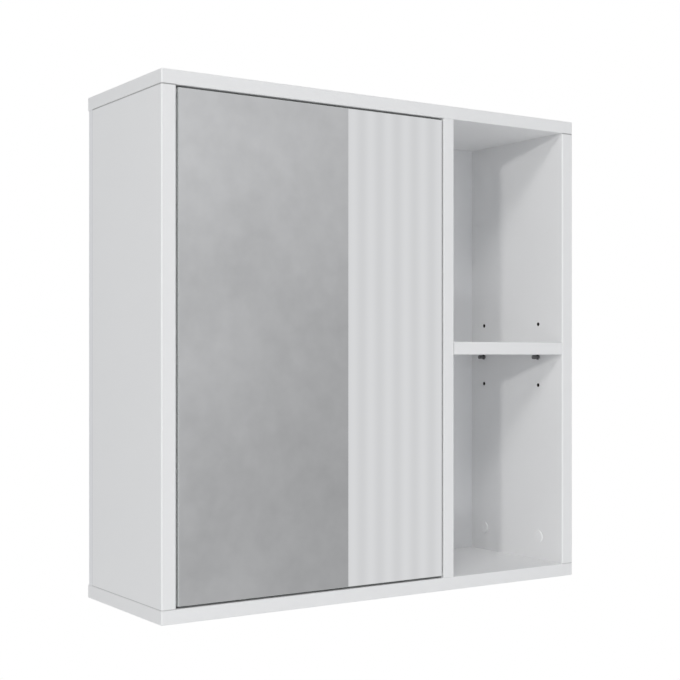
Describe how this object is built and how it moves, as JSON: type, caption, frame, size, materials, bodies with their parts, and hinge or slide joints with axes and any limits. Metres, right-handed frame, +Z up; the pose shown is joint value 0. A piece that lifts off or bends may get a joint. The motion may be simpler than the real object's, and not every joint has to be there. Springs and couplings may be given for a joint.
{
  "type": "bathroom mirror cabinet",
  "caption": "Wall cabinet with an inset mirrored door on concealed hinges over one bay, an open shelf bay beside it, and keyhole plates for the wall.",
  "frame": {"origin": "on the wall plane, under the middle of the case: the lower edge of the bottom board's rear face", "axes": "+X to the right seen from the room, +Y towards the wall, +Z up"},
  "size_m": [0.6, 0.2, 0.6],
  "materials": {
    "white_board": "white melamine-faced chipboard, satin, with matching edge band",
    "back_panel": "white faced board, satin",
    "door_white": "white melamine-faced board, satin",
    "mirror": "silvered float glass, polished edge",
    "foam_tape": "double-sided foam tape, matt",
    "beech": "fluted beech dowel, raw",
    "zinc": "die-cast zinc, satin",
    "white_plastic": "moulded cap, fine matt",
    "dark_steel": "dark nickel, turned",
    "zinc_screw": "bright zinc plate",
    "zinc_plate": "zinc plate, rolled sheet",
    "nickel": "nickel plate, pressed sheet",
    "latch_grey": "moulded nylon, fine matt",
    "spring_steel": "bright wire and ground steel"
  },
  "bodies": {
    "case": {"left_side_panel": "white_board", "right_side_panel": "white_board", "centre_divider": "white_board", "bottom_board": "white_board", "top_board": "white_board", "open_shelf": "white_board", "inner_shelf": "white_board", "back_board": "back_panel", "wooden_dowels": "beech", "cam_locks": "zinc", "cam_bolts": "zinc", "cam_cover_caps": "white_plastic", "shelf_pins": "dark_steel", "back_screws": "zinc_screw", "hanger_screws": "zinc_screw", "hinge_plate_screws": "zinc_screw", "latch_screws": "zinc_screw", "hanger_plates": "zinc_plate", "hinge_arm_pins": "nickel", "hinge_arms": "nickel", "hinge_mounting_plates": "nickel", "hinge_arm_screws": "nickel", "latch_body": "latch_grey", "latch_spring": "spring_steel"},
    "outer_links": {"hinge_outer_links": "nickel"},
    "inner_links": {"hinge_inner_links": "nickel", "hinge_inner_rivets": "nickel"},
    "door": {"door_board": "door_white", "mirror_glass": "mirror", "mirror_tape": "foam_tape", "hinge_cups": "nickel", "hinge_cup_pins": "nickel", "hinge_cup_screws": "zinc_screw", "strike_plate": "zinc_plate", "strike_screw": "zinc_screw"},
    "plunger": {"latch_plunger": "latch_grey", "latch_magnet": "spring_steel"}
  },
  "joints": [
    {"name": "door_swing", "type": "hinge", "parent": "outer_links", "child": "door", "pos_m": [-0.2708, -0.1833, 0.3], "axis": [0, 0, -1], "range_deg": [0, 144.31]},
    {"name": "outer_link_swing", "type": "hinge", "parent": "case", "child": "outer_links", "pos_m": [-0.2393, -0.1716, 0.3], "axis": [0, 0, 1], "range_deg": [0, 49.6]},
    {"name": "inner_link_swing", "type": "hinge", "parent": "case", "child": "inner_links", "pos_m": [-0.227, -0.1742, 0.3], "axis": [0, 0, 1], "range_deg": [0, 49.6]},
    {"name": "latch_press", "type": "slide", "parent": "case", "child": "plunger", "axis": [0, 1, 0], "range_m": [0, 0.0025], "stiffness_N_per_m": 400, "deforming": ["latch_spring"]}
  ],
  "couplings": [
    {"joint": "outer_link_swing", "follows": "door_swing", "ratio": 0.34167},
    {"joint": "inner_link_swing", "follows": "door_swing", "ratio": 0.34213}
  ]
}
